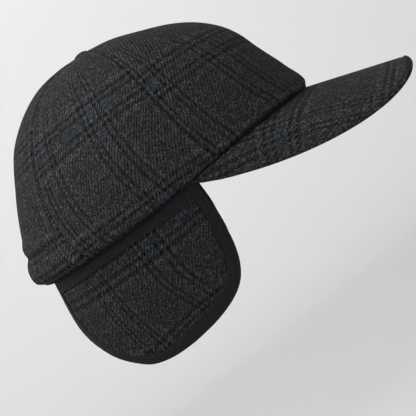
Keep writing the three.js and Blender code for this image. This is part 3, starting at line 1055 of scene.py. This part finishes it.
def makeBinding():
    work = Patchwork()
    section, steps = flap["section"], flap["bindingSteps"]
    count = len(section)
    half = flap["bindingThickness"] / 2
    shade = flap["bindingPaintedShade"]
    girth = [0]
    for a, b in zip(section, section[1:] + section[:1]):
        step = math.hypot((b["across"] - a["across"]) * flap["meanEdge"], (b["lift"] - a["lift"]) * half)
        girth.append(girth[-1] + step)
    rings, weave = [], []
    for i in range(steps + 1):
        spot, inward, edge = flapEdge(i / steps)
        ripple = 1 + flap["ripple"] * math.sin(i * 1.7) * math.sin(i * 0.37)
        ring = []
        for corner in section:
            place = spot + inward * corner["across"] * edge
            # painted shade along both edges of the binding, where it turns away and where it meets the
            # panel, over an even darkening of the whole binding
            atEdge = max(smooth(0.09, 0.02, corner["across"]), smooth(0.93, 1, corner["across"]))
            dark = max(shade["least"], shade["edges"] * atEdge)
            ring.append(work.point(flapPoint(place.x, place.y, corner["lift"] * half * ripple), dark))
        rings.append(ring)
        weave.append([(g / 100, i / steps * outlineRun / 100) for g in girth])
    for i in range(steps):
        for k in range(count):
            nxt = (k + 1) % count
            ring = [rings[i][k], rings[i + 1][k], rings[i + 1][nxt], rings[i][nxt]]
            maps = [weave[i][k], weave[i + 1][k], weave[i + 1][k + 1], weave[i][k + 1]]
            work.face(ring, maps, maps)
    for ring in (rings[0], rings[-1][::-1]):
        work.face(ring, [(0, 0)] * count, [(0, 0)] * count)
    return work


def makePanel():
    kept = []
    for i in range(181):
        spot, inward, edge = flapEdge(i / 180)
        spot = spot + inward * (edge - flap["tuckIn"])
        if spot.y > panelTopAt(spot.x) + 0.5:
            kept.append(spot)
    frontTop, backTop = (Vector((spot.x, panelTopAt(spot.x))) for spot in (kept[0], kept[-1]))
    borderAt, _, _ = chartLine([frontTop, *kept, backTop])
    first, second = flap["corners"]
    frontFoot, backFoot = borderAt(first), borderAt(second)
    rows, columns = flap["panelGrid"]
    deep, long = flap["panelSpan"]
    half = flap["panelThickness"] / 2
    shade = flap["panelPaintedShade"]

    def topLine(u):
        along = frontTop.x + (backTop.x - frontTop.x) * u
        return Vector((along, panelTopAt(along)))

    work = Patchwork()
    outer, inner, checks, weave = [], [], [], []
    for r in range(rows + 1):
        v = r / rows
        front, back = borderAt(first * v), borderAt(1 - (1 - second) * v)
        for grid in (outer, inner, checks, weave):
            grid.append([])
        for c in range(columns + 1):
            u = c / columns
            bottom = borderAt(first + (second - first) * u)
            corners = topLine(0).lerp(topLine(1), u).lerp(frontFoot.lerp(backFoot, u), v)
            place = front.lerp(back, u) + topLine(u).lerp(bottom, v) - corners
            fromRim = 9 * min(u, 1 - u, v, 1 - v)
            lift = half * (0.7 + 0.3 * math.sqrt(max(0, 1 - (1 - min(1, fromRim)) ** 2)))
            puff = flap["swell"] * smooth(0, 3.5, fromRim)
            # painted shade: a little over the whole panel, more round its border where it tucks under the
            # binding and along its top under the band
            toBorder = min(min(u, 1 - u) * long, (1 - v) * deep)
            border, top = smooth(2.6, 0.8, toBorder), smooth(2.2, 0.8, v * deep)
            dark = max(shade["least"], shade["border"] * border, shade["top"] * top)
            outer[r].append(work.point(flapPoint(place.x, place.y, lift + puff), dark))
            inner[r].append(work.point(flapPoint(place.x, place.y, -lift)))
            shift = flapBendAt(place.y) * (1 - 0.75 * smooth(55, 85, place.x))
            tilt = flap["weftTilt"] * smooth(45, 98, place.x) * smooth(28, 60, place.y)
            checks[r].append((
                flapWarpAt(place.x - shift) / plaid["warpRepeat"],
                -flapWeftAt(place.y - tilt) / plaid["weftRepeat"],
            ))
            weave[r].append((place.x / 100, -place.y / 100))
    work.sheet(outer, inner, checks, weave, 1)
    return work


def makeBand():
    work = Patchwork()
    start, end = flap["outline"][0], flap["outline"][-1]
    front = start["along"] + start["edge"] - flap["tuckIn"]
    back = end["along"] - end["edge"] + flap["tuckIn"]
    face = flap["bindingThickness"] / 2 - flap["bandRecess"]
    outer, inner, weave = [], [], []
    for r, share in enumerate(flap["bandRows"]):
        for grid in (outer, inner, weave):
            grid.append([])
        for c in range(flap["bandColumns"] + 1):
            along = front + (back - front) * c / flap["bandColumns"]
            foot = panelTopAt(along) + flap["tuckIn"]
            drop = -flap["tucked"] + (foot + flap["tucked"]) * share
            # painted shadow on the band's top, under the crown's rim
            outer[r].append(work.point(flapPoint(along, drop, face), smooth(2.8, 1.2, drop)))
            inner[r].append(work.point(flapPoint(along, drop, face - flap["bandThickness"])))
            weave[r].append((drop / 100, along / 100))
    work.sheet(outer, inner, weave, weave)
    return work


flapPieces = {}
for label, work, cloths in (
    ("flapPanel", makePanel(), [plaidWool, blackEdging]),
    ("flapBinding", makeBinding(), [blackEdging]),
    ("flapBand", makeBand(), [blackEdging]),
):
    flapPieces[label, "right"] = work.piece(label + "Right", cloths)
    flapPieces[label, "left"] = work.mirrored().piece(label + "Left", cloths)
print("flaps made")


# a row of stitches along a line
stitching = {"spacing": 3.0, "length": 2.1, "width": 0.42, "fromEdge": 1.1, "sunk": 0.02, "fromRim": 3}


def stitchTree():
    inputs = {"line": "NodeSocketGeometry"}
    inputs.update({label: "NodeSocketFloat" for label in ("spacing", "length", "width")})
    inputs["cloth"] = "NodeSocketMaterial"
    wire, keys, given = startTree("stitchRow", inputs)
    along = {"Curve": given["line"], "Length": given["spacing"]}
    spots = wire.node("GeometryNodeCurveToPoints", {"mode": "LENGTH"}, along)
    tangent = Wire(wire.tree, spots.socket.node.outputs["Tangent"])
    turned = wire.node("FunctionNodeAlignRotationToVector", {"axis": "X"}, {"Vector": tangent})
    bead = wire.node("GeometryNodeMeshUVSphere", None, {"Segments": 8, "Rings": 5, "Radius": 0.5})
    size = wire.joined(given["length"], given["width"], given["width"])
    placed = wire.node("GeometryNodeInstanceOnPoints", None, {
        "Points": spots, "Instance": bead, "Rotation": turned, "Scale": size,
    })
    endTree(wire, placed, given["cloth"])
    return wire.tree, keys


stitchNodes, stitchKeys = stitchTree()


def makeStitches(name, line):
    curve = bpy.data.curves.new(name + "Line", "CURVE")
    curve.dimensions = "3D"
    spline = curve.splines.new("POLY")
    spline.points.add(len(line) - 1)
    for point, spot in zip(spline.points, line):
        point.co = (*(c * mm for c in spot), 1)
    values = {label: stitching[label] * mm for label in ("spacing", "length", "width")}
    values["cloth"] = darkThread
    mesh = runTree(placeObject(name + "Line", curve), stitchNodes, stitchKeys, values)
    mesh.name = name
    smoothFaces(mesh)
    return placeObject(name, mesh)


def bindingLine():
    line = []
    for i in range(20, 381):
        spot, inward, edge = flapEdge(i / 400)
        place = spot + inward * (edge - stitching["fromEdge"])
        if place.y > stitching["fromRim"]:
            line.append(flapPoint(place.x, place.y, flap["bindingThickness"] / 2 - stitching["sunk"]))
    return line


rightLine = bindingLine()
stitchRows = [
    makeStitches("flapStitchesRight", rightLine),
    makeStitches("flapStitchesLeft", [Vector((-p.x, p.y, p.z)) for p in rightLine]),
]
print("stitches made", len(rightLine))


# a round paper floor that turns up into a wall, in metres
stage = {
    "floor": -0.30, "radius": 2.6, "fillet": 0.9, "wall": 2.2, "columns": 96, "filletSteps": 12,
    "shade": (229, 229, 229), "paintedFloorShade": (201, 201, 201), "grainScale": 900.0, "grain": 0.02,
    "paintedLightUp": 4.0, "paintedLightFrom": 0.7, "paintedLightBeyond": 1.1, "bump": 0.02,
}


def makeStage():
    fillet, columns = stage["fillet"], stage["columns"]
    foot = stage["radius"] - fillet
    profile = [(0, 0), (0.6, 0), (1.2, 0), (foot, 0)]
    for k in range(1, stage["filletSteps"] + 1):
        angle = math.pi / 2 * k / stage["filletSteps"]
        profile.append((foot + fillet * math.sin(angle), fillet * (1 - math.cos(angle))))
    profile.append((stage["radius"], stage["wall"]))
    points, faces = [], []
    for out, up in profile:
        for c in range(columns):
            turn = 2 * math.pi * c / columns
            points.append((out * math.cos(turn), out * math.sin(turn), stage["floor"] + up))
    for r in range(len(profile) - 1):
        for c in range(columns):
            nxt = (c + 1) % columns
            ring = [r * columns + c, r * columns + nxt, (r + 1) * columns + nxt, (r + 1) * columns + c]
            faces.append(ring if r else ring[1:])
    mesh = bpy.data.meshes.new("studioFloor")
    mesh.from_pydata(points, [], faces)
    smoothFaces(mesh)
    material, shader, wire = startMaterial("palePaper")
    place = wire.node("ShaderNodeTexCoord", None, None, 3)
    grain = wire.noise(place, stage["grainScale"], 2.0)
    # painted light and shade on the paper: darker on the floor near the cap, paler up the wall and farther
    # off, as the lamps' light falls off
    up = (wire.axis(place, 2) - stage["floor"]) * stage["paintedLightUp"]
    beyond = (wire.axis(place, 0) - stage["paintedLightFrom"]) * stage["paintedLightBeyond"]
    paintedLightShare = wire.clamped(wire.math("MAXIMUM", up, beyond) + grain * stage["grain"])
    shade = wire.mix(paintedLightShare, linear(*stage["paintedFloorShade"]), linear(*stage["shade"]))
    finishMaterial(wire, shader, shade, grain, stage["bump"], {"Roughness": 0.9, "Specular IOR Level": 0.1})
    mesh.materials.append(material)
    placeObject("studioFloor", mesh)


makeStage()

# the camera stands off the right side, tipped as the cap is tipped: scale in pixels to the millimetre
view = {
    "round": 0.8, "above": 2.5, "roll": 37.5, "distance": 1200.0,
    "target": (0.0, -4.57, -23.8), "scale": 1.567, "frame": 416, "sensor": 36.0,
}


def viewAxes():
    around, above, roll = (math.radians(view[k]) for k in ("round", "above", "roll"))
    level = Vector((-math.cos(around), -math.sin(around), 0))
    toward = level * math.cos(above) + Vector((0, 0, math.sin(above)))
    right = Vector((math.sin(around), -math.cos(around), 0))
    up = toward.cross(right)
    tippedRight = right * math.cos(roll) - up * math.sin(roll)
    tippedUp = right * math.sin(roll) + up * math.cos(roll)
    return tippedRight, tippedUp, toward


def makeCamera():
    right, up, toward = viewAxes()
    lens = bpy.data.cameras.new("camera")
    lens.sensor_width = view["sensor"]
    lens.lens = view["scale"] * view["distance"] / view["frame"] * view["sensor"]
    lens.clip_end = 20
    camera = placeObject("camera", lens)
    place = (Vector(view["target"]) + toward * view["distance"]) * mm
    turn = Matrix((right, up, toward)).transposed().to_4x4()
    camera.matrix_world = Matrix.Translation(place) @ turn
    bpy.context.scene.camera = camera


makeCamera()

# where each lamp stands and points: across, up and toward the camera from the cap, in metres
lamps = tableOf(
    ("name", "place", "aim", "size", "power"),
    ("keyLight", (-1.42, 0.7, 0.37), (0, 0, 0), 1.1, 37),
    ("fillLight", (0.9, 1.0, 1.3), (0, 0, 0), 1.3, 7),
    ("wallLight", (-1.0, 0.9, -1.3), (-1.1, 1.0, -2.6), 0.9, 12),
)
skyStrength = 0.3


def makeLights():
    right, up, toward = viewAxes()
    target = Vector(view["target"]) * mm
    for row in lamps:
        lamp = bpy.data.lights.new(row["name"], "AREA")
        lamp.shape = "DISK"
        lamp.size = row["size"]
        lamp.energy = row["power"]
        holder = placeObject(row["name"], lamp)
        place, aim = (right * x + up * y + toward * z for x, y, z in (row["place"], row["aim"]))
        holder.location = target + place
        holder.rotation_euler = (place - aim).to_track_quat("Z", "Y").to_euler()
    world = bpy.data.worlds.new("studio")
    world.use_nodes = True
    sky = next(n for n in world.node_tree.nodes if n.type == "BACKGROUND")
    sky.inputs["Color"].default_value = (1, 1, 1, 1)
    sky.inputs["Strength"].default_value = skyStrength
    bpy.context.scene.world = world
    bpy.context.scene.view_settings.view_transform = "Standard"


makeLights()
print("stage, camera and lights set")

pieceNodes = [
    (crownCloth, ["crown"], "plaid_wool"),
    (topButton, ["top_button"], "plaid_wool"),
    (peakCloth, ["peak"], "plaid_wool"),
]
for side in ("right", "left"):
    pieceNodes.append((flapPieces["flapPanel", side], [f"flap_panel_{side}"], "plaid_wool"))
    pieceNodes.append((flapPieces["flapBinding", side], [f"flap_binding_{side}"], "black_edging"))
    pieceNodes.append((flapPieces["flapBand", side], [f"flap_band_{side}"], "black_edging"))
for piece, nodes, finish in pieceNodes:
    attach(piece, "root")
    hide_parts(*nodes)
for piece in stitchRows:
    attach(piece, "root")
